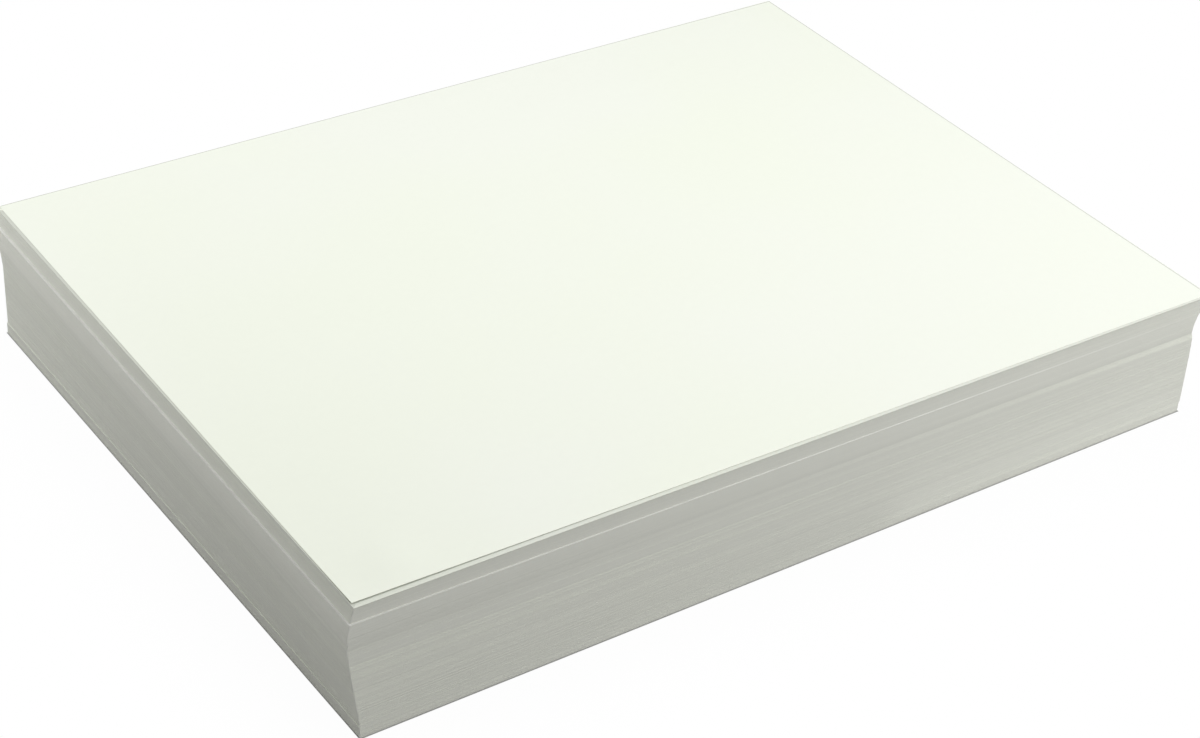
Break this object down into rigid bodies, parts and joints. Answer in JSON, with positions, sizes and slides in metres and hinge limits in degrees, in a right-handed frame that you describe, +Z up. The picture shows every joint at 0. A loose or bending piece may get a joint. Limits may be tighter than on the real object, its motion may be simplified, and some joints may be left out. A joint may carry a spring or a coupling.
{
  "type": "ream of paper",
  "caption": "Loose ream of blank letter-size writing paper, squared up by hand into a pile with slightly shifted packets.",
  "frame": {"origin": "centre of the bottom sheet's underside, where the pile rests", "axes": "+X along the long side of the bottom sheet, +Y along its short side, +Z up through the pile"},
  "size_m": [0.2837, 0.2237, 0.045],
  "materials": {
    "paper": "uncoated, matte off-white"
  },
  "bodies": {
    "root": {"bottom_packet": "paper", "lower_packet": "paper", "middle_packet": "paper", "turned_packet": "paper", "ledge_packet": "paper", "upper_packet": "paper", "second_sheet": "paper", "top_sheet": "paper"}
  },
  "joints": []
}
